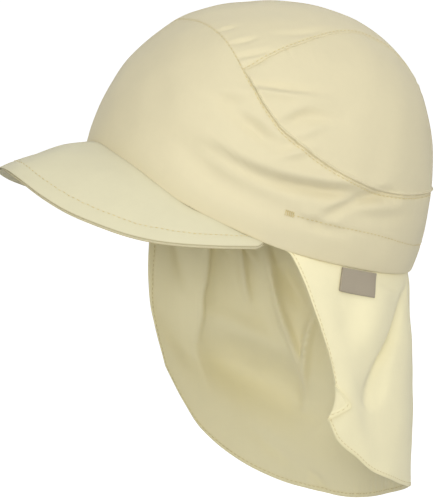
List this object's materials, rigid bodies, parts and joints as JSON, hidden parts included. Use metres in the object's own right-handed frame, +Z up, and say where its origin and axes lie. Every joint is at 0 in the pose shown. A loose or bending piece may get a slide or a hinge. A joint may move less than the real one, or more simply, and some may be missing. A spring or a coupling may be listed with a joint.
{
  "type": "peaked sun cap with neck flap",
  "caption": "Child's soft cotton sun cap in its worn form: panelled round crown with a low rim, a stitched peak over the forehead and a long cloth flap over the neck",
  "frame": {"origin": "middle of the head opening, at the height of the rim beside the ears", "axes": "+Z up, -Y towards the peak, +X towards the wearer's left"},
  "size_m": [0.1642, 0.225, 0.2561],
  "materials": {
    "crown_cloth": "matt plain-woven cotton",
    "peak_cloth": "matt plain-woven cotton",
    "flap_cloth": "matt light plain-woven cotton",
    "woven_tape": "matt woven tape"
  },
  "bodies": {
    "root": {"crown_front_panel": "crown_cloth", "crown_top_panel": "crown_cloth", "crown_left_panel": "crown_cloth", "crown_right_panel": "crown_cloth", "peak_upper": "peak_cloth", "peak_under": "peak_cloth", "neck_flap": "flap_cloth", "side_tab": "woven_tape"}
  },
  "joints": []
}
